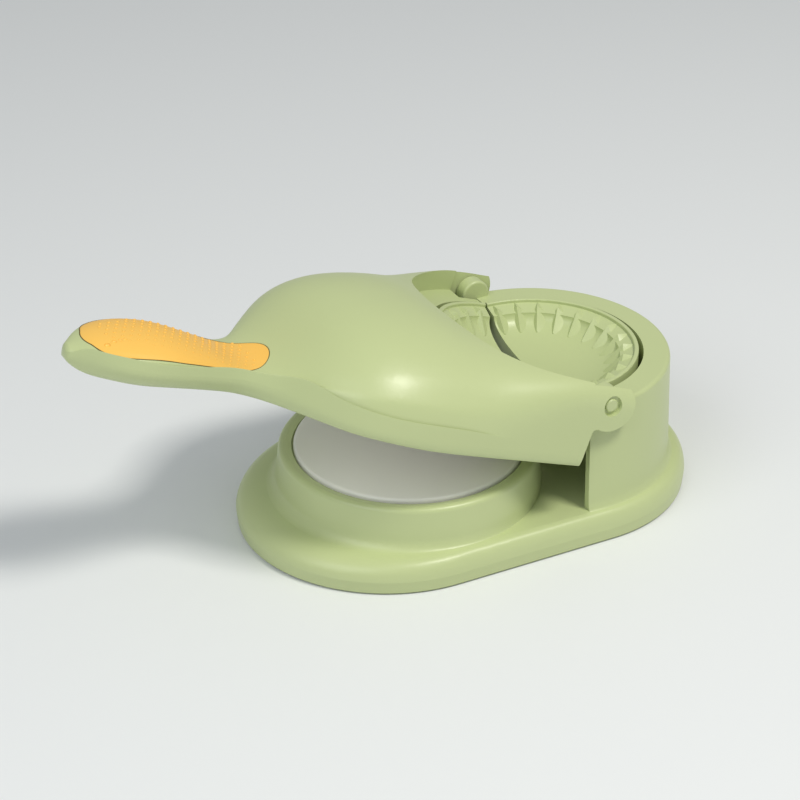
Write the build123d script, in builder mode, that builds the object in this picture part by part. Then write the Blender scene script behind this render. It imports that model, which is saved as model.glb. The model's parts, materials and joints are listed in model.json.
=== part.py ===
"""Two-in-one empanada press: a dough press and a folding pleat mould on one hinged lever.

Millimetres. +Z is up and the table is z = 0. +X runs from the handle to the tower, and the
origin is the centre of the footprint. The lever is drawn in its own frame, whose origin lies
on the hinge line, whose x axis points to the rear and which is level when the press is shut.
"""
from build123d import *
from math import asin, cos, pi, radians, sin
import os

os.makedirs("parts", exist_ok=True)

# ---------------------------------------------------------------- driving dimensions
# Base
BASE_LENGTH = 191.0
BASE_WIDTH = 121.0
RIM_LIFT = 0.6            # the shell's rim stays off the table, on the feet
SKIRT_TOE = 0.5           # how far the rim tucks in under the widest line
WIDEST_HEIGHT = 5.5       # the skirt is widest here
DECK_HEIGHT = 13.0        # flat deck between the dough ring and the tower
FLARE_HEIGHT = 18.0       # the skirt has turned into upright walls here
BASE_WALL = 2.6
# The skirt's curve: share of the way in from the outline to the walls, and share of the height
# from the widest line to the deck, then from the deck to the upright walls
ROLL = [(0.0, 0.0), (0.045, 0.33), (0.15, 0.63), (0.31, 0.84), (0.52, 0.955), (0.75, 1.0)]
COVE = [(0.75, 0.0), (0.81, 0.05), (0.875, 0.18), (0.94, 0.41), (0.985, 0.7), (1.0, 1.0)]

# Dough station
RING_X = -25.1
RING_RADIUS = 52.0
RING_HEIGHT = 30.1
RING_DRAFT = 1.2          # how much wider the ring is where its upright wall starts
RING_ROUND = 2.2
LAND_DROP = 0.6           # the land falls towards the plate
LAND_EDGE = 1.2           # width of the level strip outside the land
SEAT_THICKNESS = 2.4
PLATE_RADIUS = 46.0
PLATE_THICKNESS = 3.0
PLATE_ROUND = 1.2
PLATE_GAP = 0.8
PLATE_STAND = 0.9         # how far the plate's top stands above the ring

# Tower
TOWER_X = 32.5
TOWER_RADIUS = 54.0
TOWER_HEIGHT = 58.0
TOWER_DRAFT = 1.3
TOWER_WALL = 2.7
TOWER_ROUND = 1.6
TOP_THICKNESS = 2.4
MOUTH_SETBACK = 7.0       # the side walls start this far in front of the hinge line

# Hinge
HINGE_RISE = 1.6          # the hinge line above the tower's top
SHUT_TO_REST = 20.3       # degrees from the shut press to the rest pose
KNUCKLE_RADIUS = 6.2
KNUCKLE_DEPTH = 5.6
KNUCKLE_PROUD = 0.2       # the knuckle's outer face beyond the tower's radius
KNUCKLE_ROUND = 1.0
PIN_RADIUS = 2.7
PIN_SEAT_DEPTH = 3.5
PIN_RUNNING_GAP = 0.06
PIN_RECESS = 1.0          # the pin's end stays this far inside the ear
PIN_CHAMFER = 0.4
COUNTERBORE_RADIUS = 4.1
COUNTERBORE_DEPTH = 1.8
WASHER_RADIUS = 5.6
WASHER_THICKNESS = 0.7

# Folding mould
MOULD_RADIUS = 41.4
MOULD_DEPTH = 17.0
MOULD_SKIN = 2.0
MOULD_ROUND = 0.5
MOULD_SCREW_INSET = 6.0   # the screws stand this far inside the bowl's edge
MOULD_SCREW_ANGLES = (-58, 0, 58)
MOULD_SCREW_LENGTH = 7.0
RIM_WIDTH = 1.8
RIM_DROP = 0.2            # rim plane below the hinge line
LAND_OUTER_DROP = 1.6
LAND_INNER_DROP = 3.5
BOWL_RADIUS = 34.0
BOWL_DEPTH = 14.2
SPLIT_GAP = 0.3           # each half stays this far from the hinge plane
WELL_GAP = 2.0
CUP_WALL = 2.2
PLEATS = 13
PLEAT_WIDTH = 8.8
PLEAT_LEAN = 0.22         # where the crest lies across the rib, as a share of its width
# A pleat's sections: distance inside the rim's middle, depth of crest and foot, share of width
PLEAT_SECTIONS = [(0.0, 1.6, 4.6, 1.0), (5.2, 1.0, 5.6, 0.9), (12.6, 9.2, 11.4, 0.62)]

# Lever
LEVER_SIDE = 3.4
LEVER_ROOF = 2.6
LEVER_FLOOR = 2.4
KEEL_ROUND = 4.3          # height of the rounding between side and underside
EAR_RADIUS = 10.5
EAR_SETBACK = 5.5         # rear edge of the side walls, in front of the hinge line
EAR_INNER_CORNER = 2.0
EAR_PLAY = 0.3            # between a washer and the ear
LEVER_DECK_DROP = 1.2
LEVER_DECK_THICKNESS = 2.4
TUB_WALL = 2.6
BULKHEAD_GAP = 3.3        # between the folded knuckles and the bulkhead
BULKHEAD_THICKNESS = 2.5
TONGUE_GAP = 2.1          # between a knuckle and the deck's tongue
# Stations along the lever. x is measured from the press plate's centre, heights from the flat
# underside: x, half width, crown, keel, power of the crown's curve, width of the keel's rounding
HANDLE_STATIONS = [
    (-143.0, 3.6, 3.6, -1.8, 2.0, 1.5),
    (-142.0, 4.7, 4.2, -2.6, 2.0, 3.0),
    (-139.4, 7.6, 5.8, -3.9, 2.0, 5.0),
    (-134.9, 12.5, 8.4, -4.9, 2.0, 8.5),
    (-127.9, 17.7, 10.8, -4.9, 2.0, 12.0),
    (-120.4, 20.1, 12.4, -5.0, 2.0, 13.5),
    (-108.4, 20.2, 13.2, -4.7, 2.0, 13.0),
    (-95.4, 18.5, 11.3, -4.7, 2.0, 12.0),
    (-86.4, 17.6, 9.3, -4.6, 2.0, 11.0),
    (-78.4, 17.7, 7.2, -4.4, 2.1, 10.0),
    (-70.4, 20.7, 7.4, -3.6, 2.1, 7.0),
]
# The same for the body, with the inset from its full half width and the crown's height above
# the hinge line
BODY_STATIONS = [
    (-61.4, 28.4, -13.5, -2.2, 2.2, 5.0),
    (-53.4, 19.0, -5.6, -1.1, 2.3, 3.2),
    (-45.4, 11.2, 1.8, -0.5, 2.3, 2.2),
    (-34.4, 5.2, 7.9, 0.0, 2.3, 1.6),
    (-20.4, 1.6, 11.4, 0.0, 2.3, 1.2),
    (-5.4, 0.2, 12.2, 0.0, 2.4, 1.0),
    (7.6, 0.0, 10.6, 0.0, 2.9, 1.0),
    (19.6, 0.0, 9.6, 0.0, 4.0, 1.0),
]
# Straight walls beside the pocket: x from the hinge line, crown above it, power
POCKET_STATIONS = [
    (-24.0, 9.8, 6.0),
    (-12.0, 10.2, 8.0),
    (0.0, 10.0, 9.0),
    (12.0, 10.0, 9.0),
    (26.0, 10.0, 9.0),
]
POCKET_CORNER = 1.0
CROWN_STEPS = 28
FINE_STEPS = 800
LEAST_RISE = 2.0          # the widest line stays this far under the crown
LEAST_WIDTH = 4.0         # an inner form stops where it gets narrower than this

# Press plate and lever cover
PRESS_RADIUS = 43.6
PRESS_THICKNESS = 3.5
PRESS_GAP = 0.5           # between the press plate and the dough plate when shut
PRESS_PROUD = 1.8         # the press plate's face below the lever's underside
PRESS_SLOT = 0.4
PRESS_SCREW_INSET = 6.8   # the screws stand this far inside the press plate's rim
PRESS_SCREW_LENGTH = 4.8
PAN_THICKNESS = 2.4
PAN_WALL = 2.4
COVER_INSET = 5.0
COVER_CORNER_SHARE = 0.6  # the cover's edge stays clear of the keel's rounding by this share
COVER_GAP = 0.15
COVER_START = -120.4      # from the press plate's centre
COVER_WIDE = -5.4
COVER_NOSE = 7.0
SEAM_RISE = 0.5           # the opening runs this far past the floor's inner face
PAD_RADIUS = 5.0
PAD_HEIGHT = 1.6
SEAT_SKIN = 1.6           # plastic under a screw's head
LEVER_SCREW_LENGTH = 8.0
SHOULDER_SCREW_Y = 27.0

# Grip: x is measured from the press plate's centre
INLAY_THICKNESS = 1.8
INLAY_SIDE = 0.9          # the bed's floor rises less steeply than the skin at the sides
GRIP_ROOF = 4.0
GRIP_TIP = -138.2
GRIP_EDGE = [
    (-137.0, 5.5),
    (-135.2, 9.8),
    (-131.4, 14.2),
    (-126.2, 16.7),
    (-118.9, 17.8),
    (-106.8, 17.8),
    (-97.9, 16.8),
    (-88.9, 15.6),
    (-78.9, 14.0),
    (-71.1, 11.4),
]
GRIP_END = -62.8
GRIP_BODY_JOINT = -66.0   # the handle's thicker roof ends here
DIMPLE_LIFT = 0.35        # a dimple's ball is centred this share of its radius over the skin
DIMPLES = [(-132.4, -8.8, 1.25), (-129.5, -7.7, 1.0), (-127.1, -7.2, 0.8), (-125.2, -7.0, 0.65)]

# Underside of the base
COVER_THICKNESS = 3.0
COVER_LIFT = 0.9
COVER_SLOT = 0.2
FOOT_RADIUS = 8.0
FOOT_THICKNESS = 2.4
FOOT_GAP = 0.1
FOOT_ROUND = 0.5
FOOT_INSET = 15.6         # from the base's outline to a foot's centre
FOOT_ANGLE = 58.8         # degrees off the long axis, round the ends' centres
END_SCREW_INSET = 23.0
SIDE_SCREW_INSET = 14.0
BASE_SCREW_LENGTH = 7.5

# Screws
SCREW_RADIUS = 1.5
HEAD_RADIUS = 2.8
HEAD_HEIGHT = 1.7
SLOT_LENGTH = 3.4
SLOT_WIDTH = 0.8
SLOT_DEPTH = 0.9
BOSS_RADIUS = 3.6
BOSS_CAP = 1.2            # plastic over a screw's tip
HEAD_GAP = 0.2
TIP_ROOM = 0.1

# Cutting bodies
CUT_OVERLAP = 1.0         # a cut runs this far past the face that it opens
BITE = 0.5                # an added body sinks this far into the one that it stands on
FAR = 260.0               # beyond every piece

# ---------------------------------------------------------------- derived sizes
END_RADIUS = BASE_WIDTH / 2
END_X = (BASE_LENGTH - BASE_WIDTH) / 2
RING_BASE_RADIUS = RING_RADIUS + RING_DRAFT
TOWER_BASE_RADIUS = TOWER_RADIUS + TOWER_DRAFT
TOWER_INNER = TOWER_RADIUS - TOWER_WALL
MOUTH_X = TOWER_X - MOUTH_SETBACK
PLATE_TOP = RING_HEIGHT + PLATE_STAND
PLATE_SEAT = PLATE_TOP - PLATE_THICKNESS
COVER_TOP = COVER_LIFT + COVER_THICKNESS
HEAD_SEAT = COVER_LIFT + HEAD_HEIGHT + HEAD_GAP
HINGE_HEIGHT = TOWER_HEIGHT + HINGE_RISE
HUB_FACE = TOWER_RADIUS + KNUCKLE_PROUD
BORE_RADIUS = PIN_RADIUS + PIN_RUNNING_GAP
WELL_RADIUS = MOULD_RADIUS + WELL_GAP
CUP_RADIUS = WELL_RADIUS + CUP_WALL
CUP_TOP = TOWER_HEIGHT - TOP_THICKNESS / 2 - HINGE_HEIGHT
CUP_FLOOR = -RIM_DROP - MOULD_DEPTH
CUP_BOTTOM = CUP_FLOOR - CUP_WALL
POCKET_RADIUS = HUB_FACE + WASHER_THICKNESS + EAR_PLAY
LEVER_HALF_WIDTH = POCKET_RADIUS + LEVER_SIDE
DECK_TOP = -LEVER_DECK_DROP
DECK_BOTTOM = DECK_TOP - LEVER_DECK_THICKNESS
DECK_TONGUE = HUB_FACE - KNUCKLE_DEPTH - TONGUE_GAP
BULKHEAD_REAR = -KNUCKLE_RADIUS - BULKHEAD_GAP
BULKHEAD_FRONT = BULKHEAD_REAR - BULKHEAD_THICKNESS
PRESS_X = RING_X - TOWER_X
PRESS_BOTTOM = PLATE_TOP + PRESS_GAP - HINGE_HEIGHT
PRESS_TOP = PRESS_BOTTOM + PRESS_THICKNESS
PAN_TOP = PRESS_TOP + PAN_THICKNESS
UNDERSIDE = PRESS_BOTTOM + PRESS_PROUD
WIDEST_LEVEL = UNDERSIDE + KEEL_ROUND

STATIONS = [
    (PRESS_X + x, half_width, UNDERSIDE + crown, UNDERSIDE + keel, power, corner)
    for x, half_width, crown, keel, power, corner in HANDLE_STATIONS
]
STATIONS += [
    (PRESS_X + x, LEVER_HALF_WIDTH - inset, crown, UNDERSIDE + keel, power, corner)
    for x, inset, crown, keel, power, corner in BODY_STATIONS
]
STATIONS += [
    (x, LEVER_HALF_WIDTH, crown, UNDERSIDE, power, POCKET_CORNER)
    for x, crown, power in POCKET_STATIONS
]

MOULD_SCREW_CIRCLE = BOWL_RADIUS - MOULD_SCREW_INSET
MOULD_SCREWS = [
    (MOULD_SCREW_CIRCLE * cos(radians(a)), MOULD_SCREW_CIRCLE * sin(radians(a)))
    for a in MOULD_SCREW_ANGLES
]
BASE_SCREWS = [
    (END_SCREW_INSET - BASE_LENGTH / 2, 0),
    (0, BASE_WIDTH / 2 - SIDE_SCREW_INSET),
    (0, SIDE_SCREW_INSET - BASE_WIDTH / 2),
    (BASE_LENGTH / 2 - END_SCREW_INSET, 0),
]
FOOT_X = END_X + (END_RADIUS - FOOT_INSET) * cos(radians(FOOT_ANGLE))
FOOT_Y = (END_RADIUS - FOOT_INSET) * sin(radians(FOOT_ANGLE))
FEET = {
    "foot_front_left": (-FOOT_X, -FOOT_Y),
    "foot_front_right": (-FOOT_X, FOOT_Y),
    "foot_rear_left": (FOOT_X, -FOOT_Y),
    "foot_rear_right": (FOOT_X, FOOT_Y),
    "foot_centre": (0, 0),
}
LEVER_SCREWS = [
    (STATIONS[5][0], 0),
    (STATIONS[8][0], 0),
    (STATIONS[12][0], SHOULDER_SCREW_Y),
    (STATIONS[12][0], -SHOULDER_SCREW_Y),
    (STATIONS[19][0], DECK_TONGUE),
    (STATIONS[19][0], -DECK_TONGUE),
]
KEEL = {station[0]: station[3] for station in STATIONS}
PRESS_SCREW_CIRCLE = PRESS_RADIUS - PRESS_SCREW_INSET
PRESS_SCREWS = [
    (PRESS_X + PRESS_SCREW_CIRCLE * cos(radians(a)), PRESS_SCREW_CIRCLE * sin(radians(a)))
    for a in (45, 135, 225, 315)
]

rest = radians(SHUT_TO_REST)
hinge = Vector(TOWER_X, 0, HINGE_HEIGHT)
tower_frame = Plane(origin=hinge, x_dir=(1, 0, 0), z_dir=(0, 0, 1))
lever = Plane(origin=hinge, x_dir=(cos(rest), 0, -sin(rest)), z_dir=(sin(rest), 0, cos(rest)))


# ---------------------------------------------------------------- planes and plain shapes
def across(frame, x):
    """The plane square to a frame's x axis; its own axes are the frame's y and z."""
    return Plane(origin=frame.from_local_coords((x, 0, 0)), x_dir=frame.y_dir, z_dir=frame.x_dir)


def level(frame, x, y, z):
    """A plane parallel to a frame's floor, with its origin at a point of that frame."""
    return Plane(origin=frame.from_local_coords((x, y, z)), x_dir=frame.x_dir, z_dir=frame.z_dir)


def side(frame, y):
    """The upright plane along a frame's x axis; its own axes are the frame's x and z."""
    return Plane(origin=frame.from_local_coords((0, y, 0)), x_dir=frame.x_dir, z_dir=-frame.y_dir)


def disc(frame, x, y, low, high, radius):
    """A round block standing on a frame's floor."""
    with BuildPart() as body:
        with BuildSketch(level(frame, x, y, low)):
            Circle(radius)
        extrude(amount=high - low)
    return body.part


def cone(x, low, low_radius, high, high_radius):
    """A round block with draft, upright in the world."""
    with BuildPart() as body:
        for height, radius in ((low, low_radius), (high, high_radius)):
            with BuildSketch(Plane.XY.offset(height)):
                with Locations((x, 0)):
                    Circle(radius)
        loft(ruled=True)
    return body.part


def block(frame, x, y, z):
    """A rectangular block between two limits along each of a frame's axes."""
    with BuildPart() as body:
        with BuildSketch(level(frame, 0, 0, z[0])):
            with Locations(((x[0] + x[1]) / 2, (y[0] + y[1]) / 2)):
                Rectangle(x[1] - x[0], y[1] - y[0])
        extrude(amount=z[1] - z[0])
    return body.part


def half_space(frame, facing, start):
    """Everything behind (facing 1) or in front (facing -1) of the hinge plane, from start on."""
    limits = sorted((facing * start, facing * FAR))
    return block(frame, limits, (-FAR, FAR), (-FAR, FAR))


def screw(frame, x, y, head_face, length):
    """A pan-head screw along a frame's z axis; a negative length drives it downwards."""
    way = 1 if length > 0 else -1
    with BuildPart() as body:
        with BuildSketch(level(frame, x, y, head_face)):
            Circle(SCREW_RADIUS)
        extrude(amount=length)
        with BuildSketch(level(frame, x, y, head_face)):
            Circle(HEAD_RADIUS)
        extrude(amount=-way * HEAD_HEIGHT)
        with BuildSketch(level(frame, x, y, head_face - way * HEAD_HEIGHT)):
            Rectangle(SLOT_WIDTH, SLOT_LENGTH)
            Rectangle(SLOT_LENGTH, SLOT_WIDTH)
        extrude(amount=way * SLOT_DEPTH, mode=Mode.SUBTRACT)
    return body.part


def finish(name, part):
    part.label = name
    export_step(part, f"parts/{name}.step")


# ---------------------------------------------------------------- base
def front_circle(share):
    """Centre and radius of the front end, a share of the way in from the outline to the ring."""
    return -END_X + (RING_X + END_X) * share, END_RADIUS + (RING_BASE_RADIUS - END_RADIUS) * share


def rear_circle(share):
    """Centre and radius of the rear end, a share of the way in from the outline to the tower."""
    return END_X + (TOWER_X - END_X) * share, END_RADIUS + (TOWER_BASE_RADIUS - END_RADIUS) * share


def skirt_section(share, height, inset):
    """Two end arcs joined by their common tangents, moved inwards by the inset."""
    front_x, front_r = front_circle(share)
    rear_x, rear_r = rear_circle(share)
    front_r -= inset
    rear_r -= inset
    lean = asin((rear_r - front_r) / (rear_x - front_x))
    front_at = (front_x - front_r * sin(lean), front_r * cos(lean))
    rear_at = (rear_x - rear_r * sin(lean), rear_r * cos(lean))
    with BuildSketch(Plane.XY.offset(height)) as section:
        with BuildLine():
            Line(front_at, rear_at)
            ThreePointArc(rear_at, (rear_x + rear_r, 0), (rear_at[0], -rear_at[1]))
            Line((rear_at[0], -rear_at[1]), (front_at[0], -front_at[1]))
            ThreePointArc((front_at[0], -front_at[1]), (front_x - front_r, 0), front_at)
        make_face()
    return section.sketch


def skirt(low, wall):
    """The base's lower body up to the deck, or the room that leaves a wall inside it."""
    widest = skirt_section(0, WIDEST_HEIGHT - wall, wall)
    roll = [
        skirt_section(share, WIDEST_HEIGHT + (DECK_HEIGHT - WIDEST_HEIGHT) * rise - wall, wall)
        for share, rise in ROLL
    ]
    with BuildPart() as body:
        loft(sections=[skirt_section(0, low, wall + SKIRT_TOE), widest], ruled=True)
        loft(sections=roll)
    return body.part


def flare(circle, wall):
    """The round cove between the deck and an upright wall, or the room inside it."""
    sections = []
    for share, rise in COVE:
        x, radius = circle(share)
        height = DECK_HEIGHT + (FLARE_HEIGHT - DECK_HEIGHT) * rise - wall
        with BuildSketch(Plane.XY.offset(height)) as section:
            with Locations((x, 0)):
                Circle(radius - wall)
        sections.append(section.sketch)
    with BuildPart() as body:
        loft(sections=sections)
    return body.part


def ring_blank():
    with BuildPart() as body:
        add(flare(front_circle, 0))
        add(cone(RING_X, FLARE_HEIGHT, RING_BASE_RADIUS, RING_HEIGHT, RING_RADIUS))
        fillet(body.edges().group_by(Axis.Z)[-1], RING_ROUND)
    return body.part


def tower_blank():
    """The drum with its rounded top, cut off square in front of the hinge line."""
    with BuildPart() as body:
        add(flare(rear_circle, 0))
        add(cone(TOWER_X, FLARE_HEIGHT, TOWER_BASE_RADIUS, TOWER_HEIGHT, TOWER_RADIUS))
        fillet(body.edges().group_by(Axis.Z)[-1], TOWER_ROUND)
        add(block(Plane.XY, (MOUTH_X, FAR), (-FAR, FAR), (0, FAR)), mode=Mode.INTERSECT)
    return body.part


def knuckle(hand):
    with BuildPart() as body:
        with BuildSketch(side(tower_frame, hand * HUB_FACE)):
            Circle(KNUCKLE_RADIUS)
        extrude(amount=hand * KNUCKLE_DEPTH)
        inner_face = body.faces().sort_by(Axis.Y)[0 if hand > 0 else -1]
        fillet(inner_face.edges(), KNUCKLE_ROUND)
    return body.part


def pin_hole(hand, depth):
    """A bore on the hinge line, from outside the ear to a depth inside the tower's wall."""
    with BuildPart() as body:
        with BuildSketch(side(tower_frame, hand * (HUB_FACE - depth))):
            Circle(PIN_RADIUS)
        extrude(amount=-hand * (depth + CUT_OVERLAP))
    return body.part


def cup(frame, facing, top):
    """The solid half drum that a mould half's well is cut into."""
    with BuildPart() as body:
        add(disc(frame, 0, 0, CUP_BOTTOM, top, CUP_RADIUS))
        add(half_space(frame, facing, SPLIT_GAP), mode=Mode.INTERSECT)
    return body.part


with BuildPart() as base_shell:
    add(skirt(RIM_LIFT, 0))
    add(tower_blank())
    add(
        cone(
            TOWER_X,
            DECK_HEIGHT,
            TOWER_BASE_RADIUS - TOWER_WALL,
            TOWER_HEIGHT - TOP_THICKNESS,
            TOWER_INNER,
        ),
        mode=Mode.SUBTRACT,
    )
    # The top is open in front of the hinge plane
    mouth = block(
        Plane.XY,
        (MOUTH_X - CUT_OVERLAP, TOWER_X + SPLIT_GAP),
        (-TOWER_INNER, TOWER_INNER),
        (TOWER_HEIGHT - TOP_THICKNESS - CUT_OVERLAP, TOWER_HEIGHT + CUT_OVERLAP),
    )
    add(mouth, mode=Mode.SUBTRACT)
    add(cup(tower_frame, 1, CUP_TOP))
    add(disc(tower_frame, 0, 0, CUP_FLOOR, FAR, WELL_RADIUS), mode=Mode.SUBTRACT)
    for hand in (-1, 1):
        add(knuckle(hand))
        add(pin_hole(hand, PIN_SEAT_DEPTH), mode=Mode.SUBTRACT)
    for x, y in MOULD_SCREWS:
        drill_low = CUP_BOTTOM - CUT_OVERLAP
        drill = disc(tower_frame, x, y, drill_low, CUP_FLOOR + CUT_OVERLAP, SCREW_RADIUS)
        add(drill, mode=Mode.SUBTRACT)
    # Dough ring: recess for the plate and a land that falls towards it
    add(ring_blank())
    seat_radius = PLATE_RADIUS + PLATE_GAP
    add(disc(Plane.XY, RING_X, 0, PLATE_SEAT, FAR, seat_radius), mode=Mode.SUBTRACT)
    land_radius = RING_RADIUS - RING_ROUND - LAND_EDGE / 2
    add(
        cone(RING_X, RING_HEIGHT - LAND_DROP, seat_radius, RING_HEIGHT, land_radius),
        mode=Mode.SUBTRACT,
    )
    # Hollow underside
    add(skirt(0, BASE_WALL), mode=Mode.SUBTRACT)
    add(flare(front_circle, BASE_WALL), mode=Mode.SUBTRACT)
    add(
        cone(
            RING_X,
            FLARE_HEIGHT - BASE_WALL,
            RING_BASE_RADIUS - BASE_WALL,
            PLATE_SEAT - SEAT_THICKNESS,
            RING_RADIUS - BASE_WALL,
        ),
        mode=Mode.SUBTRACT,
    )
    for x, y in BASE_SCREWS:
        under_ring = x < 0
        roof = PLATE_SEAT - BITE if under_ring else DECK_HEIGHT - BITE
        drill_top = HEAD_SEAT + BASE_SCREW_LENGTH + TIP_ROOM
        add(disc(Plane.XY, x, y, COVER_TOP, roof, BOSS_RADIUS))
        add(disc(Plane.XY, x, y, 0, drill_top, SCREW_RADIUS), mode=Mode.SUBTRACT)

finish("base_shell", base_shell.part)

with BuildPart() as base_cover:
    add(skirt_section(0, COVER_LIFT, BASE_WALL + SKIRT_TOE + COVER_SLOT))
    extrude(amount=COVER_THICKNESS)
    for x, y in BASE_SCREWS:
        add(disc(Plane.XY, x, y, 0, COVER_TOP + CUT_OVERLAP, SCREW_RADIUS), mode=Mode.SUBTRACT)
        add(disc(Plane.XY, x, y, 0, HEAD_SEAT, HEAD_RADIUS + HEAD_GAP), mode=Mode.SUBTRACT)
    for x, y in FEET.values():
        foot_hole = disc(Plane.XY, x, y, 0, FOOT_THICKNESS, FOOT_RADIUS + FOOT_GAP)
        add(foot_hole, mode=Mode.SUBTRACT)
finish("base_cover", base_cover.part)

with BuildPart() as base_cover_screws:
    for x, y in BASE_SCREWS:
        add(screw(Plane.XY, x, y, HEAD_SEAT, BASE_SCREW_LENGTH))
finish("base_cover_screws", base_cover_screws.part)

for foot_name, (foot_x, foot_y) in FEET.items():
    with BuildPart() as foot:
        with BuildSketch(level(Plane.XY, foot_x, foot_y, 0)):
            Circle(FOOT_RADIUS)
        extrude(amount=FOOT_THICKNESS)
        fillet(foot.edges().group_by(Axis.Z)[0], FOOT_ROUND)
    finish(foot_name, foot.part)

with BuildPart() as dough_plate:
    with BuildSketch(level(Plane.XY, RING_X, 0, PLATE_SEAT)):
        Circle(PLATE_RADIUS)
    extrude(amount=PLATE_THICKNESS)
    fillet(dough_plate.edges().group_by(Axis.Z)[-1], PLATE_ROUND)
finish("dough_plate", dough_plate.part)


# ---------------------------------------------------------------- folding mould
def mould_block(frame):
    """The full round mould before it is cut in two: rim, pleated land and bowl."""
    with BuildPart() as body:
        with BuildSketch(across(frame, 0)):
            with BuildLine():
                Polyline(
                    (0, CUP_FLOOR),
                    (MOULD_RADIUS, CUP_FLOOR),
                    (MOULD_RADIUS, -RIM_DROP),
                    (MOULD_RADIUS - RIM_WIDTH, -RIM_DROP),
                    (MOULD_RADIUS - RIM_WIDTH, -LAND_OUTER_DROP),
                    (BOWL_RADIUS, -LAND_INNER_DROP),
                )
                EllipticalCenterArc(
                    (0, -LAND_INNER_DROP),
                    BOWL_RADIUS,
                    BOWL_DEPTH - LAND_INNER_DROP,
                    start_angle=270,
                    arc_size=90,
                )
                Line((0, -BOWL_DEPTH), (0, CUP_FLOOR))
            make_face()
        revolve(axis=Axis(frame.origin, frame.z_dir))
        rim_edges = body.edges().group_by(Axis(frame.origin, frame.z_dir))[-1]
        fillet(rim_edges, MOULD_ROUND)
    return body.part


def mould_hollow(frame, facing):
    """The room under one half's skin."""
    low = CUP_FLOOR - CUT_OVERLAP
    wall = MOULD_RADIUS - MOULD_SKIN
    bowl = BOWL_RADIUS + MOULD_SKIN
    roof = -LAND_INNER_DROP - MOULD_SKIN
    with BuildPart() as body:
        with BuildSketch(across(frame, 0)):
            with BuildLine():
                Polyline((0, low), (wall, low), (wall, roof), (bowl, roof))
                EllipticalCenterArc(
                    (0, roof),
                    bowl,
                    BOWL_DEPTH - LAND_INNER_DROP,
                    start_angle=270,
                    arc_size=90,
                )
                Line((0, -BOWL_DEPTH - MOULD_SKIN), (0, low))
            make_face()
        revolve(axis=Axis(frame.origin, frame.z_dir))
        add(half_space(frame, facing, SPLIT_GAP + MOULD_SKIN), mode=Mode.INTERSECT)
    return body.part


def pleat(frame, angle):
    """A sawtooth rib that runs in from the rim and dies out on the bowl."""
    spoke = Plane(
        origin=frame.origin,
        x_dir=frame.x_dir * cos(angle) + frame.y_dir * sin(angle),
        z_dir=frame.z_dir,
    )
    sections = []
    for inset, crest, foot, share in PLEAT_SECTIONS:
        half = PLEAT_WIDTH * share / 2
        lean = PLEAT_WIDTH * share * PLEAT_LEAN
        radius = MOULD_RADIUS - RIM_WIDTH / 2 - inset
        with BuildSketch(across(spoke, radius)) as section:
            with BuildLine():
                Polyline((-half, -foot), (half, -foot), (lean, -crest), close=True)
            make_face()
        sections.append(section.sketch)
    with BuildPart() as body:
        loft(sections=sections, ruled=True)
    return body.part


def mould_half(frame, facing):
    """One half of the mould: the pleated block with the room under its skin taken out."""
    with BuildPart() as body:
        add(mould_block(frame))
        step = pi / PLEATS
        start = -facing * pi / 2
        for i in range(PLEATS):
            add(pleat(frame, start + (i + 0.5) * step))
        add(half_space(frame, facing, SPLIT_GAP), mode=Mode.INTERSECT)
        add(mould_hollow(frame, facing), mode=Mode.SUBTRACT)
        for x, y in MOULD_SCREWS:
            tip = CUP_BOTTOM + MOULD_SCREW_LENGTH
            add(disc(frame, facing * x, y, CUP_FLOOR, tip + BOSS_CAP, BOSS_RADIUS))
            drill = disc(frame, facing * x, y, CUP_BOTTOM, tip + TIP_ROOM, SCREW_RADIUS)
            add(drill, mode=Mode.SUBTRACT)
    return body.part


with BuildPart() as rear_mould_half:
    add(mould_half(tower_frame, 1))
finish("rear_mould_half", rear_mould_half.part)

with BuildPart() as front_mould_half:
    add(mould_half(lever, -1))
finish("front_mould_half", front_mould_half.part)

with BuildPart() as rear_mould_screws:
    for x, y in MOULD_SCREWS:
        add(screw(tower_frame, x, y, CUP_BOTTOM, MOULD_SCREW_LENGTH))
finish("rear_mould_screws", rear_mould_screws.part)

with BuildPart() as front_mould_screws:
    for x, y in MOULD_SCREWS:
        add(screw(lever, -x, y, CUP_BOTTOM, MOULD_SCREW_LENGTH))
finish("front_mould_screws", front_mould_screws.part)


# ---------------------------------------------------------------- hinge
for hand, hand_name in ((-1, "left"), (1, "right")):
    with BuildPart() as hinge_pin:
        with BuildSketch(side(tower_frame, hand * (HUB_FACE - PIN_SEAT_DEPTH))):
            Circle(PIN_RADIUS)
        extrude(amount=-hand * (LEVER_HALF_WIDTH - PIN_RECESS - HUB_FACE + PIN_SEAT_DEPTH))
        outer_end = hinge_pin.faces().sort_by(Axis.Y)[-1 if hand > 0 else 0]
        chamfer(outer_end.edges(), PIN_CHAMFER)
    finish(f"hinge_pin_{hand_name}", hinge_pin.part)

    with BuildPart() as hinge_washer:
        with BuildSketch(side(tower_frame, hand * HUB_FACE)):
            Circle(WASHER_RADIUS)
            Circle(BORE_RADIUS, mode=Mode.SUBTRACT)
        extrude(amount=-hand * WASHER_THICKNESS)
    finish(f"hinge_washer_{hand_name}", hinge_washer.part)


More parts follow.
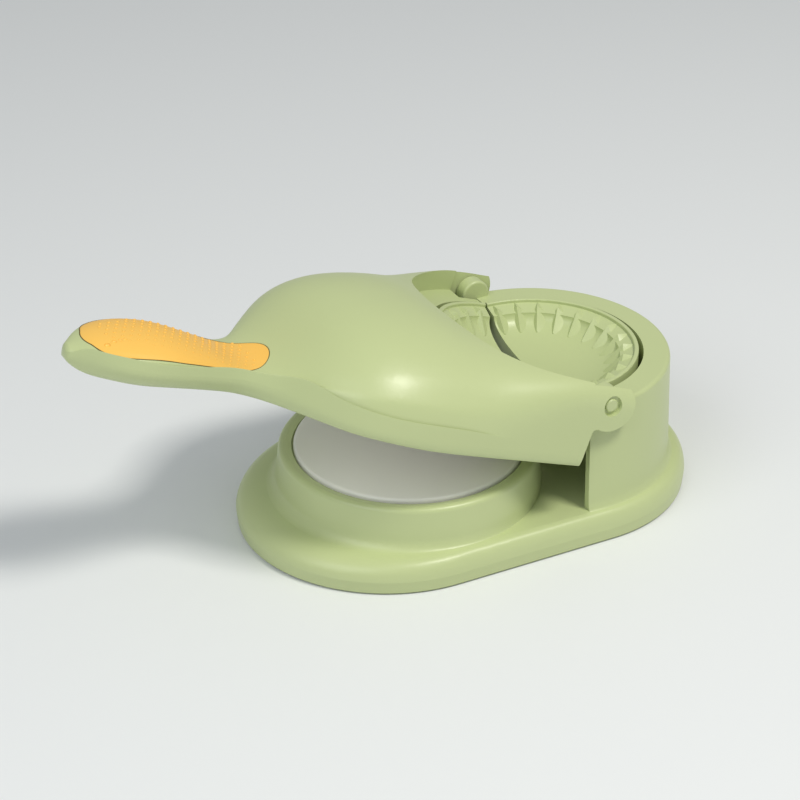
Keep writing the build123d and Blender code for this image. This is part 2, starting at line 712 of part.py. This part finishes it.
# ---------------------------------------------------------------- lever
def crown_curve(half_width, widest, crown, power):
    """Half a superellipse across the lever, through points at equal distances along it."""
    fine = []
    for i in range(FINE_STEPS + 1):
        angle = pi * i / FINE_STEPS
        c, s = round(cos(angle), 12), round(sin(angle), 12)
        y = half_width * abs(c) ** (2 / power) * (1 if c > 0 else -1)
        fine.append(Vector(y, widest + (crown - widest) * s ** (2 / power)))
    run = [0.0]
    for last, point in zip(fine, fine[1:]):
        run.append(run[-1] + (point - last).length)
    points = []
    for i in range(CROWN_STEPS + 1):
        goal = run[-1] * i / CROWN_STEPS
        after = next(k for k in range(1, len(run)) if run[k] >= goal - 1e-9)
        share = (goal - run[after - 1]) / (run[after] - run[after - 1])
        points.append(fine[after - 1] + (fine[after] - fine[after - 1]) * share)
    return Edge.make_spline(
        points,
        tangents=(Vector(0, 1), Vector(0, -1)),
        parameters=[i / CROWN_STEPS for i in range(CROWN_STEPS + 1)],
    )


def lever_section(x, half_width, crown, keel, power, corner):
    """The lever's section at a station: a high crown over a flat underside."""
    widest = min(WIDEST_LEVEL, crown - LEAST_RISE)
    flat = half_width - corner
    fall = widest - keel
    with BuildSketch(across(lever, x)) as section:
        with BuildLine():
            add(crown_curve(half_width, widest, crown, power))
            EllipticalCenterArc((-flat, widest), corner, fall, start_angle=180, arc_size=90)
            Line((-flat, keel), (flat, keel))
            EllipticalCenterArc((flat, widest), corner, fall, start_angle=270, arc_size=90)
        make_face()
    return section.sketch


def lever_blank(side_inset=0.0, roof_inset=0.0, grip_inset=0.0, floor_inset=0.0):
    """The lever's outer form, or the same form drawn inwards."""
    sections = []
    for x, half_width, crown, keel, power, corner in STATIONS:
        width = half_width - side_inset
        top = crown - (grip_inset if x < PRESS_X + GRIP_BODY_JOINT else roof_inset)
        if side_inset > 0 and width < LEAST_WIDTH:
            continue
        round_width = corner * width / half_width
        sections.append(lever_section(x, width, top, keel + floor_inset, power, round_width))
    with BuildPart() as body:
        loft(sections=sections)
    return body.part


def seen_from_side():
    """All that stays of the lever in side view: square rear edges and a round ear at the hinge."""
    with BuildPart() as body:
        with BuildSketch(side(lever, 0)):
            with Locations((-(EAR_SETBACK + FAR) / 2, 0)):
                Rectangle(FAR - EAR_SETBACK, FAR)
            Circle(EAR_RADIUS)
            with Locations((-EAR_SETBACK / 2, EAR_RADIUS / 2)):
                Rectangle(EAR_SETBACK, EAR_RADIUS)
        extrude(amount=FAR / 2, both=True)
        drop = (EAR_RADIUS**2 - EAR_SETBACK**2) ** 0.5
        corner = lever.from_local_coords((-EAR_SETBACK, 0, -drop))
        inner_edge = body.edges().filter_by(Axis.Y).sort_by_distance(corner)[0]
        fillet(inner_edge, EAR_INNER_CORNER)
    return body.part


def grip_bed(gap):
    """The skin of the handle inside the grip's outline, down to the inlay's thickness."""
    edge = [(PRESS_X + x, y + gap) for x, y in GRIP_EDGE]
    start, end = edge[0], edge[-1]
    with BuildPart() as body:
        with BuildSketch(level(lever, 0, 0, WIDEST_LEVEL)):
            with BuildLine():
                ThreePointArc((start[0], -start[1]), (PRESS_X + GRIP_TIP - gap, 0), start)
                Spline(*edge)
                ThreePointArc(end, (PRESS_X + GRIP_END + gap, 0), (end[0], -end[1]))
                Spline(*[(x, -y) for x, y in reversed(edge)])
            make_face()
        extrude(amount=FAR)
        add(grip_skin.part, mode=Mode.INTERSECT)
    return body.part


def cover_outline(gap):
    """The lever cover's outline in plan, following the lever's sides."""
    edge = []
    for x, half_width, _, _, _, corner in STATIONS:
        if PRESS_X + COVER_START <= x <= PRESS_X + COVER_WIDE:
            edge.append((x, half_width - max(COVER_INSET, COVER_CORNER_SHARE * corner) + gap))
    start, wide = edge[0], edge[-1]
    end = BULKHEAD_FRONT - COVER_GAP + gap
    with BuildSketch(level(lever, 0, 0, -FAR)) as outline:
        with BuildLine():
            ThreePointArc((start[0], -start[1]), (start[0] - COVER_NOSE - gap, 0), start)
            Spline(*edge)
            Polyline(wide, (end, wide[1]), (end, -wide[1]), (wide[0], -wide[1]))
            Spline(*[(x, -y) for x, y in reversed(edge)])
        make_face()
    return outline.sketch


def cover_room(rise, gap):
    """The room inside the cover's outline, up to a height over the inner face of the floor."""
    line = [(x, keel + LEVER_FLOOR + rise) for x, _, _, keel, _, _ in STATIONS[3:]]
    start, end = line[0], line[-1]
    with BuildPart() as body:
        with BuildSketch(side(lever, 0)):
            with BuildLine():
                Spline(*line)
                Polyline(end, (end[0], -FAR), (start[0], -FAR), start)
            make_face()
        extrude(amount=FAR, both=True)
        extrude(cover_outline(gap), amount=FAR, mode=Mode.INTERSECT)
    return body.part


def tub():
    """The wall round the pocket, in front of the ears."""
    with BuildPart() as body:
        add(disc(lever, 0, 0, DECK_BOTTOM, FAR, POCKET_RADIUS + TUB_WALL))
        add(disc(lever, 0, 0, DECK_TOP, FAR, POCKET_RADIUS), mode=Mode.SUBTRACT)
        add(blank, mode=Mode.INTERSECT)
        add(half_space(lever, -1, -BULKHEAD_REAR), mode=Mode.INTERSECT)
    return body.part


def cover_boss(x, y):
    """A boss that hangs from the lever's roof over a cover screw."""
    low = KEEL[x] + LEVER_FLOOR + PAD_HEIGHT
    high = DECK_BOTTOM + BITE if x > -POCKET_RADIUS else FAR
    with BuildPart() as body:
        add(disc(lever, x, y, low, high, BOSS_RADIUS))
        add(inlay_floor, mode=Mode.INTERSECT)
    return body.part


def pan():
    """The round pan that holds the press plate, with its wall."""
    with BuildPart() as body:
        add(disc(lever, PRESS_X, 0, UNDERSIDE, PAN_TOP, PRESS_RADIUS + PRESS_SLOT + PAN_WALL))
        extrude(cover_outline(0), amount=2 * FAR, mode=Mode.INTERSECT)
    return body.part


blank = lever_blank()
inlay_floor = lever_blank(INLAY_SIDE, INLAY_THICKNESS, INLAY_THICKNESS, INLAY_THICKNESS)
with BuildPart() as grip_skin:
    add(blank)
    add(inlay_floor, mode=Mode.SUBTRACT)
with BuildPart() as cavity:
    add(lever_blank(LEVER_SIDE, LEVER_ROOF, GRIP_ROOF, LEVER_FLOOR))
    add(half_space(lever, -1, -BULKHEAD_FRONT), mode=Mode.INTERSECT)

with BuildPart() as lever_shell:
    add(blank)
    add(cavity.part, mode=Mode.SUBTRACT)
    # Open between the ears, and a round pocket for the mould
    between_ears = block(lever, (BULKHEAD_REAR, FAR), (-POCKET_RADIUS, POCKET_RADIUS), (-FAR, FAR))
    add(between_ears, mode=Mode.SUBTRACT)
    add(disc(lever, 0, 0, DECK_TOP, FAR, POCKET_RADIUS), mode=Mode.SUBTRACT)
    add(tub())
    tongue = block(
        lever,
        (BULKHEAD_FRONT, -SPLIT_GAP),
        (-DECK_TONGUE, DECK_TONGUE),
        (DECK_BOTTOM, DECK_TOP),
    )
    add(tongue)
    add(cup(lever, -1, (DECK_TOP + DECK_BOTTOM) / 2))
    add(disc(lever, 0, 0, CUP_FLOOR, FAR, WELL_RADIUS), mode=Mode.SUBTRACT)
    add(seen_from_side(), mode=Mode.INTERSECT)
    # Hinge bores and the round recesses over the pins' ends
    for hand in (-1, 1):
        with BuildSketch(side(lever, hand * (POCKET_RADIUS - CUT_OVERLAP))):
            Circle(BORE_RADIUS)
        extrude(amount=-hand * FAR, mode=Mode.SUBTRACT)
        with BuildSketch(side(lever, hand * (LEVER_HALF_WIDTH - COUNTERBORE_DEPTH))):
            Circle(COUNTERBORE_RADIUS)
        extrude(amount=-hand * FAR, mode=Mode.SUBTRACT)
    for x, y in MOULD_SCREWS:
        drill_low = CUP_BOTTOM - CUT_OVERLAP
        drill = disc(lever, -x, y, drill_low, CUP_FLOOR + CUT_OVERLAP, SCREW_RADIUS)
        add(drill, mode=Mode.SUBTRACT)
    add(grip_bed(COVER_GAP), mode=Mode.SUBTRACT)
    # Opening for the cover, and the bosses that it is screwed to
    add(cover_room(SEAM_RISE, COVER_GAP), mode=Mode.SUBTRACT)
    for x, y in LEVER_SCREWS:
        low = KEEL[x] + LEVER_FLOOR + PAD_HEIGHT
        tip = low - SEAT_SKIN + LEVER_SCREW_LENGTH
        add(cover_boss(x, y))
        drill = disc(lever, x, y, low - CUT_OVERLAP, tip + TIP_ROOM, SCREW_RADIUS)
        add(drill, mode=Mode.SUBTRACT)
finish("lever_shell", lever_shell.part)

with BuildPart() as lever_cover:
    add(blank)
    add(cover_room(0, 0), mode=Mode.INTERSECT)
    add(pan())
    add(disc(lever, PRESS_X, 0, -FAR, PRESS_TOP, PRESS_RADIUS + PRESS_SLOT), mode=Mode.SUBTRACT)
    for x, y in LEVER_SCREWS:
        floor = KEEL[x] + LEVER_FLOOR
        pad_top = floor + PAD_HEIGHT
        add(disc(lever, x, y, floor - BITE, pad_top, PAD_RADIUS))
        head = disc(lever, x, y, -FAR, pad_top - SEAT_SKIN, HEAD_RADIUS + HEAD_GAP)
        add(head, mode=Mode.SUBTRACT)
        add(disc(lever, x, y, -FAR, pad_top + CUT_OVERLAP, SCREW_RADIUS), mode=Mode.SUBTRACT)
    for x, y in PRESS_SCREWS:
        add(disc(lever, x, y, -FAR, PAN_TOP + CUT_OVERLAP, SCREW_RADIUS), mode=Mode.SUBTRACT)
finish("lever_cover", lever_cover.part)

with BuildPart() as lever_cover_screws:
    for x, y in LEVER_SCREWS:
        seat = KEEL[x] + LEVER_FLOOR + PAD_HEIGHT - SEAT_SKIN
        add(screw(lever, x, y, seat, LEVER_SCREW_LENGTH))
finish("lever_cover_screws", lever_cover_screws.part)

with BuildPart() as press_plate:
    add(disc(lever, PRESS_X, 0, PRESS_BOTTOM, PRESS_TOP, PRESS_RADIUS))
    lower_edge = press_plate.edges().group_by(Axis(lever.origin, lever.z_dir))[0]
    fillet(lower_edge, PLATE_ROUND)
    for x, y in PRESS_SCREWS:
        tip = PAN_TOP - PRESS_SCREW_LENGTH - TIP_ROOM
        add(disc(lever, x, y, tip, PRESS_TOP + CUT_OVERLAP, SCREW_RADIUS), mode=Mode.SUBTRACT)
finish("press_plate", press_plate.part)

with BuildPart() as press_plate_screws:
    for x, y in PRESS_SCREWS:
        add(screw(lever, x, y, PAN_TOP, -PRESS_SCREW_LENGTH))
finish("press_plate_screws", press_plate_screws.part)

with BuildPart() as grip_inlay:
    add(grip_bed(0))
    # Round dimples near the tip, each a shallow cap of a ball
    for x, y, radius in DIMPLES:
        plumb = Axis(lever.from_local_coords((PRESS_X + x, y, 0)), -lever.z_dir)
        skin = blank.find_intersection_points(plumb)[0][0]
        with Locations(Location(skin + lever.z_dir * DIMPLE_LIFT * radius)):
            Sphere(radius, mode=Mode.SUBTRACT)
finish("grip_inlay", grip_inlay.part)
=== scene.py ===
"""The looks of the empanada press: materials, grip texture, studio and camera."""

import json
import math

import bmesh
import bpy
from mathutils import Matrix, Vector
from mathutils.bvhtree import BVHTree


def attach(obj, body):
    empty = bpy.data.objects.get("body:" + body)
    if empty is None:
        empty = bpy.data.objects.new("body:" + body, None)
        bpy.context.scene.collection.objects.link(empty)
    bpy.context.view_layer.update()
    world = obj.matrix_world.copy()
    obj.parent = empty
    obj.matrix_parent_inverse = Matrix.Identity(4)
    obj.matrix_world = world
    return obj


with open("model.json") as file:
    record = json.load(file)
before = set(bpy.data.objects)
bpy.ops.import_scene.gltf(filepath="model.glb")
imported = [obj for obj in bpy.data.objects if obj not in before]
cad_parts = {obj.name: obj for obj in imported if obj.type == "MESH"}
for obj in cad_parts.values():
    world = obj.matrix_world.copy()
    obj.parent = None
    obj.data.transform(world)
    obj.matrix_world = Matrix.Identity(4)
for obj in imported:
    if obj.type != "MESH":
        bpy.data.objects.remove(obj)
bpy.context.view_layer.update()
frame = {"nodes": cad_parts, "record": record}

MM = 0.001

# Colours, as linear light
GREEN = (0.530, 0.598, 0.304)
GREEN_DEEP = (0.500, 0.570, 0.284)
WARM_WHITE = (0.86, 0.845, 0.79)
GRIP_ORANGE = (0.96, 0.575, 0.12)
GRIP_DEEP = (0.92, 0.52, 0.09)
WASHER_GREY = (0.70, 0.70, 0.64)
FOOT_GREEN = (0.075, 0.09, 0.05)
STEEL = (0.58, 0.57, 0.55)
SEAM_DARK = (0.13, 0.105, 0.03)
FLOOR = (0.80, 0.82, 0.83)
SKY = (0.93, 0.97, 1.0)
KEY_LIGHT = (1.0, 0.97, 0.90)
FILL_LIGHT = (0.96, 0.98, 1.0)

# Noise textures: (scale per metre, detail)
COLOUR_DRIFT = (14.0, 2.0)
GLOSS_DRIFT = (60.0, 3.0)
BRUSHED = (900.0, 2.0)
GRAIN_DETAIL = 2.0
GRAIN_STRENGTH = 0.35
STEEL_ROUGHNESS = 0.34
STEEL_SPREAD = 0.08

# Hinge frame: the lever's own axes at rest
HINGE = Vector((32.5, 0, 59.6)) * MM
REST_ANGLE = math.radians(20.3)
LEVER_X = Vector((math.cos(REST_ANGLE), 0, -math.sin(REST_ANGLE)))
LEVER_Z = Vector((math.sin(REST_ANGLE), 0, math.cos(REST_ANGLE)))

# Edges sharper than this stay sharp under smooth shading
SHARP_ANGLE = math.radians(32)
NOSE_SHARP_ANGLE = math.radians(62)

# Rays that find the grip's skin start this far over the hinge plane, along the lever's own z
RAY_HEIGHT = 50 * MM
RAY_LENGTH = 100 * MM

# Grip bumps, measured along the lever from the hinge line
BUMP_START = -188.0 * MM
BUMP_END = -126.0 * MM
BUMP_STEP = 3.3 * MM
BUMP_STEPS = 20
BUMP_ROW_STEP = 3.2 * MM
BUMP_ROWS = 10
BUMP_FIRST_ROW = -14.4 * MM
BUMP_HALF_TIP = 8.5 * MM     # half the field's width at the tip
BUMP_HALF_WIDE = 14.2 * MM   # the same at its widest
BUMP_HALF_NECK = 11.5 * MM   # the same at the neck
WIDE_FROM = 0.625            # the field reaches its full width at this share of its length
NARROWING_FROM = 0.5         # it draws in from this share of its length
BUMP_RADIUS = 0.62 * MM
BUMP_HEIGHT = 0.36 * MM
BUMP_SINK = 0.12 * MM
BUMP_NEAR_SHARE = 0.5        # bumps shrink to this share towards the near side
LEAST_FACING = 0.55          # no bump where the skin turns further away than this
CAP_RINGS = 4
CAP_SPOKES = 12

# The grip's outline in mm from the press plate's centre, as the solid has it
PRESS_AT = -57.6 * MM
GRIP_TIP = -138.2
GRIP_EDGE = [
    (-137.0, 5.5),
    (-135.2, 9.8),
    (-131.4, 14.2),
    (-126.2, 16.7),
    (-118.9, 17.8),
    (-106.8, 17.8),
    (-97.9, 16.8),
    (-88.9, 15.6),
    (-78.9, 14.0),
    (-71.1, 11.4),
]
GRIP_END = -62.8

# The seam round the grip
SEAM_RADIUS = 0.2 * MM
SEAM_SINK = 0.08 * MM
SEAM_INSET = 0.15 * MM       # the skin's height is read this far inside the outline
SEAM_ROUND = 2
ARC_STEPS = 24
SIDE_STEPS = 6

# The nose's flat end, from the hinge line, and the cap that rounds it
NOSE_AT = -200.6 * MM
NOSE_BAND = 0.02 * MM
NOSE_REACH = 0.9 * MM
NOSE_SINK = 0.02 * MM
NOSE_RINGS = 8

# Studio, in metres and watts
FLOOR_SIZE = 40.0
FLOOR_DROP = 0.2 * MM
FLOOR_ROUGHNESS = 0.55
SKY_STRENGTH = 0.34
LAMPS_AIM = (0, 0, 0.04)
KEY_AT = (0.36, -0.66, 1.38)
KEY_SIZE = 0.34
KEY_POWER = 14.2
FILL_AT = (-1.0, -0.45, 1.0)
FILL_SIZE = 0.9
FILL_POWER = 6.5

# Camera, its lens and sensor in mm
CAMERA_AT = Vector((-405.7, -714.6, 504.8)) * MM
CAMERA_AIM = Vector((12.1, 78.1, 0)) * MM
CAMERA_LENS = 106.1
SENSOR_WIDTH = 36.0
CLIP_START = 0.01


# ---------------------------------------------------------------- materials
def new_material(name):
    """A Principled material with nothing linked to it yet."""
    material = bpy.data.materials.new(name)
    material.use_nodes = True
    nodes = material.node_tree.nodes
    nodes.clear()
    out = nodes.new("ShaderNodeOutputMaterial")
    shader = nodes.new("ShaderNodeBsdfPrincipled")
    material.node_tree.links.new(shader.outputs["BSDF"], out.inputs["Surface"])
    return material, shader


def noise(tree, coords, scale, detail):
    """A noise texture in the object's own coordinates."""
    node = tree.nodes.new("ShaderNodeTexNoise")
    node.inputs["Scale"].default_value = scale
    node.inputs["Detail"].default_value = detail
    tree.links.new(coords.outputs["Object"], node.inputs["Vector"])
    return node


def vary_roughness(tree, texture, shader, roughness, spread):
    """The texture drives the roughness, evenly round its middle value."""
    ramp = tree.nodes.new("ShaderNodeMapRange")
    ramp.inputs["To Min"].default_value = roughness - spread
    ramp.inputs["To Max"].default_value = roughness + spread
    tree.links.new(texture.outputs["Fac"], ramp.inputs["Value"])
    tree.links.new(ramp.outputs["Result"], shader.inputs["Roughness"])


def moulded(name, light, deep, roughness, spread, grain_scale, grain_height):
    """Moulded plastic or rubber: slow colour drift, uneven gloss and a fine spark-eroded grain."""
    material, shader = new_material(name)
    tree = material.node_tree
    coords = tree.nodes.new("ShaderNodeTexCoord")

    drift = noise(tree, coords, *COLOUR_DRIFT)
    tint = tree.nodes.new("ShaderNodeMix")
    tint.data_type = "RGBA"
    tint.inputs["A"].default_value = (*light, 1)
    tint.inputs["B"].default_value = (*deep, 1)
    tree.links.new(drift.outputs["Fac"], tint.inputs["Factor"])
    tree.links.new(tint.outputs["Result"], shader.inputs["Base Color"])

    vary_roughness(tree, noise(tree, coords, *GLOSS_DRIFT), shader, roughness, spread)

    grain = noise(tree, coords, grain_scale, GRAIN_DETAIL)
    bump = tree.nodes.new("ShaderNodeBump")
    bump.inputs["Strength"].default_value = GRAIN_STRENGTH
    bump.inputs["Distance"].default_value = grain_height * MM
    tree.links.new(grain.outputs["Fac"], bump.inputs["Height"])
    tree.links.new(bump.outputs["Normal"], shader.inputs["Normal"])
    return material


def metal(name, colour, roughness, spread):
    """Plain metal with a finely uneven gloss."""
    material, shader = new_material(name)
    tree = material.node_tree
    shader.inputs["Base Color"].default_value = (*colour, 1)
    shader.inputs["Metallic"].default_value = 1.0
    coords = tree.nodes.new("ShaderNodeTexCoord")
    vary_roughness(tree, noise(tree, coords, *BRUSHED), shader, roughness, spread)
    return material


# Name, light and deep colour, roughness and its spread, grain's scale and its height in mm
green = moulded("green_plastic_look", GREEN, GREEN_DEEP, 0.36, 0.03, 1500.0, 0.06)
white = moulded("white_plastic_look", WARM_WHITE, WARM_WHITE, 0.36, 0.03, 1200.0, 0.03)
orange = moulded("grip_look", GRIP_ORANGE, GRIP_DEEP, 0.45, 0.04, 2200.0, 0.05)
washer = moulded("washer_look", WASHER_GREY, WASHER_GREY, 0.5, 0.03, 1200.0, 0.03)
foot = moulded("foot_look", FOOT_GREEN, FOOT_GREEN, 0.7, 0.05, 1500.0, 0.1)
steel = metal("screw_look", STEEL, STEEL_ROUGHNESS, STEEL_SPREAD)
seam = moulded("seam_look", SEAM_DARK, SEAM_DARK, 0.6, 0.03, 1500.0, 0.03)

LOOKS = {
    "green_plastic": green,
    "white_plastic": white,
    "grip_soft": orange,
    "washer_plastic": washer,
    "foot_rubber": foot,
    "screw_steel": steel,
}


# ---------------------------------------------------------------- CAD nodes
def dress_cad_nodes():
    """Every CAD node gets its material and smooth shading that keeps real edges sharp."""
    slots = {row["node"]: row["material_slot"] for row in frame["record"]["subparts"]}
    for name, obj in frame["nodes"].items():
        obj.data.materials.clear()
        obj.data.materials.append(LOOKS[slots[name]])
        for polygon in obj.data.polygons:
            polygon.material_index = 0
            polygon.use_smooth = True
        angle = NOSE_SHARP_ANGLE if name == "lever_shell" else SHARP_ANGLE
        obj.data.set_sharp_from_angle(angle=angle)
        even = obj.modifiers.new("even_shading", "WEIGHTED_NORMAL")
        even.keep_sharp = True


# ---------------------------------------------------------------- pieces on the lever
def lever_piece(name, data, material):
    """A new piece that rides on the lever."""
    obj = bpy.data.objects.new(name, data)
    bpy.context.scene.collection.objects.link(obj)
    data.materials.append(material)
    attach(obj, "lever")


def smooth_mesh(name, built):
    """The mesh of what was built in bmesh, smooth shaded."""
    data = bpy.data.meshes.new(name)
    built.to_mesh(data)
    built.free()
    for polygon in data.polygons:
        polygon.use_smooth = True
    return data


def grip_skin():
    """The grip inlay's faces, for rays."""
    mesh = bmesh.new()
    mesh.from_mesh(frame["nodes"]["grip_inlay"].data)
    tree = BVHTree.FromBMesh(mesh)
    mesh.free()
    return tree


def skin_below(tree, along, across):
    """Where a ray down the lever's own z meets the skin, and the skin's normal there."""
    start = HINGE + LEVER_X * along + Vector((0, across, 0)) + LEVER_Z * RAY_HEIGHT
    point, normal, _, _ = tree.ray_cast(start, -LEVER_Z, RAY_LENGTH)
    return point, normal


def close_dome(mesh, rings, top):
    """The faces between a dome's rings, up to its top."""
    count = len(rings[0])
    for low, high in zip(rings, rings[1:]):
        for k in range(count):
            after = (k + 1) % count
            mesh.faces.new((low[k], low[after], high[after], high[k]))
    for k in range(count):
        mesh.faces.new((rings[-1][k], rings[-1][(k + 1) % count], top))


# ---------------------------------------------------------------- grip bumps
def grip_bumps():
    """Rows of small raised caps on the grip inlay, set off like a honeycomb."""
    tree = grip_skin()
    bumps = bmesh.new()
    for row in range(BUMP_ROWS):
        across = BUMP_FIRST_ROW + row * BUMP_ROW_STEP
        for step in range(BUMP_STEPS):
            along = BUMP_START + (step + 0.5 * (row % 2)) * BUMP_STEP
            if not in_bump_field(along, across):
                continue
            skin, normal = skin_below(tree, along, across)
            if skin is None or normal.dot(LEVER_Z) < LEAST_FACING:
                continue
            near = min(max(-across / BUMP_HALF_WIDE, 0), 1)
            add_bump(bumps, skin, normal, 1 - (1 - BUMP_NEAR_SHARE) * near)
    lever_piece("grip_bumps", smooth_mesh("grip_bumps", bumps), orange)


def in_bump_field(along, across):
    """The bumps keep clear of the inlay's edge and of its bare tip."""
    share = (along - BUMP_START) / (BUMP_END - BUMP_START)
    if not 0 <= share <= 1:
        return False
    widened = math.sin(math.pi / 2 * min(share / WIDE_FROM, 1))
    narrowed = max(0, share - NARROWING_FROM) / (1 - NARROWING_FROM)
    half = BUMP_HALF_TIP + (BUMP_HALF_WIDE - BUMP_HALF_TIP) * widened
    half -= (BUMP_HALF_WIDE - BUMP_HALF_NECK) * narrowed
    return abs(across) <= half


def add_bump(bumps, skin, normal, share):
    """A low cap of a ball, sunk a little into the skin."""
    spin = normal.to_track_quat("Z", "Y").to_matrix().to_4x4()
    place = Matrix.Translation(skin) @ spin
    rings = []
    for ring in range(CAP_RINGS):
        angle = math.pi / 2 * ring / CAP_RINGS
        radius = share * BUMP_RADIUS * math.cos(angle)
        height = share * BUMP_HEIGHT * math.sin(angle) - (BUMP_SINK if ring == 0 else 0)
        loop = []
        for spoke in range(CAP_SPOKES):
            turn = 2 * math.pi * spoke / CAP_SPOKES
            point = Vector((radius * math.cos(turn), radius * math.sin(turn), height))
            loop.append(bumps.verts.new(place @ point))
        rings.append(loop)
    close_dome(bumps, rings, bumps.verts.new(place @ Vector((0, 0, share * BUMP_HEIGHT))))
    bumps.faces.new(list(reversed(rings[0])))


# ---------------------------------------------------------------- seam round the grip
def arc(start, apex, facing):
    """Points of a round end that starts at a corner and passes over its apex."""
    rise, half = abs(apex - start[0]), abs(start[1])
    radius = (rise * rise + half * half) / (2 * rise)
    reach = math.asin(min(half / radius, 1))
    if rise > radius:
        reach = math.pi - reach
    sign = 1 if start[1] > 0 else -1
    points = []
    for k in range(1, ARC_STEPS):
        turn = reach * (1 - 2 * k / ARC_STEPS)
        x = apex - facing * radius * (1 - math.cos(turn))
        points.append((x, sign * radius * math.sin(turn)))
    return points


def between(a, b, c, d, t):
    """A Catmull-Rom spline's value at share t of the way from b to c."""
    slope = (c - a) * t
    square = (2 * a - 5 * b + 4 * c - d) * t * t
    cube = (3 * b - a - 3 * c + d) * t**3
    return 0.5 * (2 * b + slope + square + cube)


def through(points):
    """A smooth line through points."""
    ends = [points[0], *points, points[-1]]
    line = []
    for four in zip(ends, ends[1:], ends[2:], ends[3:]):
        for k in range(SIDE_STEPS):
            line.append(tuple(between(*values, k / SIDE_STEPS) for values in zip(*four)))
    return [*line, points[-1]]


def grip_outline():
    """The grip's outline in plan, from the hinge line: a tip arc, two sides and an end arc."""
    side = [(PRESS_AT + x * MM, y * MM) for x, y in GRIP_EDGE]
    far_side = through(side)
    near_side = [(x, -y) for x, y in reversed(far_side)]
    tip_arc = arc((side[0][0], -side[0][1]), PRESS_AT + GRIP_TIP * MM, -1)
    end_arc = arc(side[-1], PRESS_AT + GRIP_END * MM, 1)
    return tip_arc + far_side + end_arc + near_side


def grip_seam():
    """The thin dark joint between the soft inlay and the handle."""
    tree = grip_skin()
    centre = PRESS_AT + (GRIP_TIP + GRIP_END) / 2 * MM
    knots = []
    for x, y in grip_outline():
        inwards = Vector((centre - x, -y)).normalized() * SEAM_INSET
        skin, _ = skin_below(tree, x + inwards.x, y + inwards.y)
        if skin is not None:
            knots.append(skin - LEVER_X * inwards.x - Vector((0, inwards.y, 0)))
    curve = bpy.data.curves.new("grip_seam", "CURVE")
    curve.dimensions = "3D"
    curve.bevel_depth = SEAM_RADIUS
    curve.bevel_resolution = SEAM_ROUND
    line = curve.splines.new("POLY")
    line.points.add(len(knots) - 1)
    for point, knot in zip(line.points, knots):
        point.co = (*(knot - LEVER_Z * SEAM_SINK), 1)
    line.use_cyclic_u = True
    lever_piece("grip_seam", curve, seam)


# ---------------------------------------------------------------- nose
def nose_rim():
    """The points round the solid's flat end, in order, and their middle."""
    rim = {}
    for vert in frame["nodes"]["lever_shell"].data.vertices:
        away = vert.co - HINGE
        if away.dot(LEVER_X) < NOSE_AT + NOSE_BAND:
            spot = round(away.y / MM, 3), round(away.dot(LEVER_Z) / MM, 3)
            rim[spot] = vert.co.copy()
    centre = sum(rim.values(), Vector()) / len(rim)
    loop = sorted(
        rim.values(),
        key=lambda p: math.atan2((p - centre).dot(LEVER_Z), (p - centre).y),
    )
    return loop, centre


def nose_cap():
    """The rounded end of the handle's nose, over the flat end of the solid."""
    loop, centre = nose_rim()
    cap = bmesh.new()
    rings = []
    for ring in range(NOSE_RINGS):
        size = 1 - ring / NOSE_RINGS
        ahead = NOSE_REACH * (1 - size**2) - (NOSE_SINK if ring == 0 else 0)
        middle = centre - LEVER_X * ahead
        rings.append([cap.verts.new(middle + (p - centre) * size) for p in loop])
    close_dome(cap, rings, cap.verts.new(centre - LEVER_X * NOSE_REACH))
    bmesh.ops.recalc_face_normals(cap, faces=cap.faces)
    lever_piece("nose_cap", smooth_mesh("nose_cap", cap), green)


# ---------------------------------------------------------------- studio
def studio():
    """A plain pale floor under an even pale sky."""
    bpy.ops.mesh.primitive_plane_add(size=FLOOR_SIZE, location=(0, 0, -FLOOR_DROP))
    floor = bpy.context.object
    floor.name = "floor"
    material, shader = new_material("floor_look")
    shader.inputs["Base Color"].default_value = (*FLOOR, 1)
    shader.inputs["Roughness"].default_value = FLOOR_ROUGHNESS
    floor.data.materials.append(material)

    world = bpy.data.worlds.new("studio")
    bpy.context.scene.world = world
    world.use_nodes = True
    background = world.node_tree.nodes["Background"]
    background.inputs["Color"].default_value = (*SKY, 1)
    background.inputs["Strength"].default_value = SKY_STRENGTH


def aimed(name, data, at, aim):
    """An object that looks from one point at another."""
    obj = bpy.data.objects.new(name, data)
    bpy.context.scene.collection.objects.link(obj)
    obj.location = at
    obj.rotation_euler = (Vector(aim) - Vector(at)).to_track_quat("-Z", "Y").to_euler()
    return obj


def lamp(name, at, size, power, colour):
    """A square soft lamp."""
    data = bpy.data.lights.new(name, "AREA")
    data.shape = "SQUARE"
    data.size = size
    data.energy = power
    data.color = colour
    aimed(name, data, at, LAMPS_AIM)


def camera():
    """The camera at the photograph's viewing angle."""
    data = bpy.data.cameras.new("camera")
    data.sensor_width = SENSOR_WIDTH
    data.lens = CAMERA_LENS
    data.clip_start = CLIP_START
    bpy.context.scene.camera = aimed("camera", data, CAMERA_AT, CAMERA_AIM)


dress_cad_nodes()
grip_bumps()
grip_seam()
nose_cap()
studio()
lamp("key", KEY_AT, KEY_SIZE, KEY_POWER, KEY_LIGHT)
lamp("fill", FILL_AT, FILL_SIZE, FILL_POWER, FILL_LIGHT)
camera()
bpy.context.scene.view_settings.view_transform = "Standard"
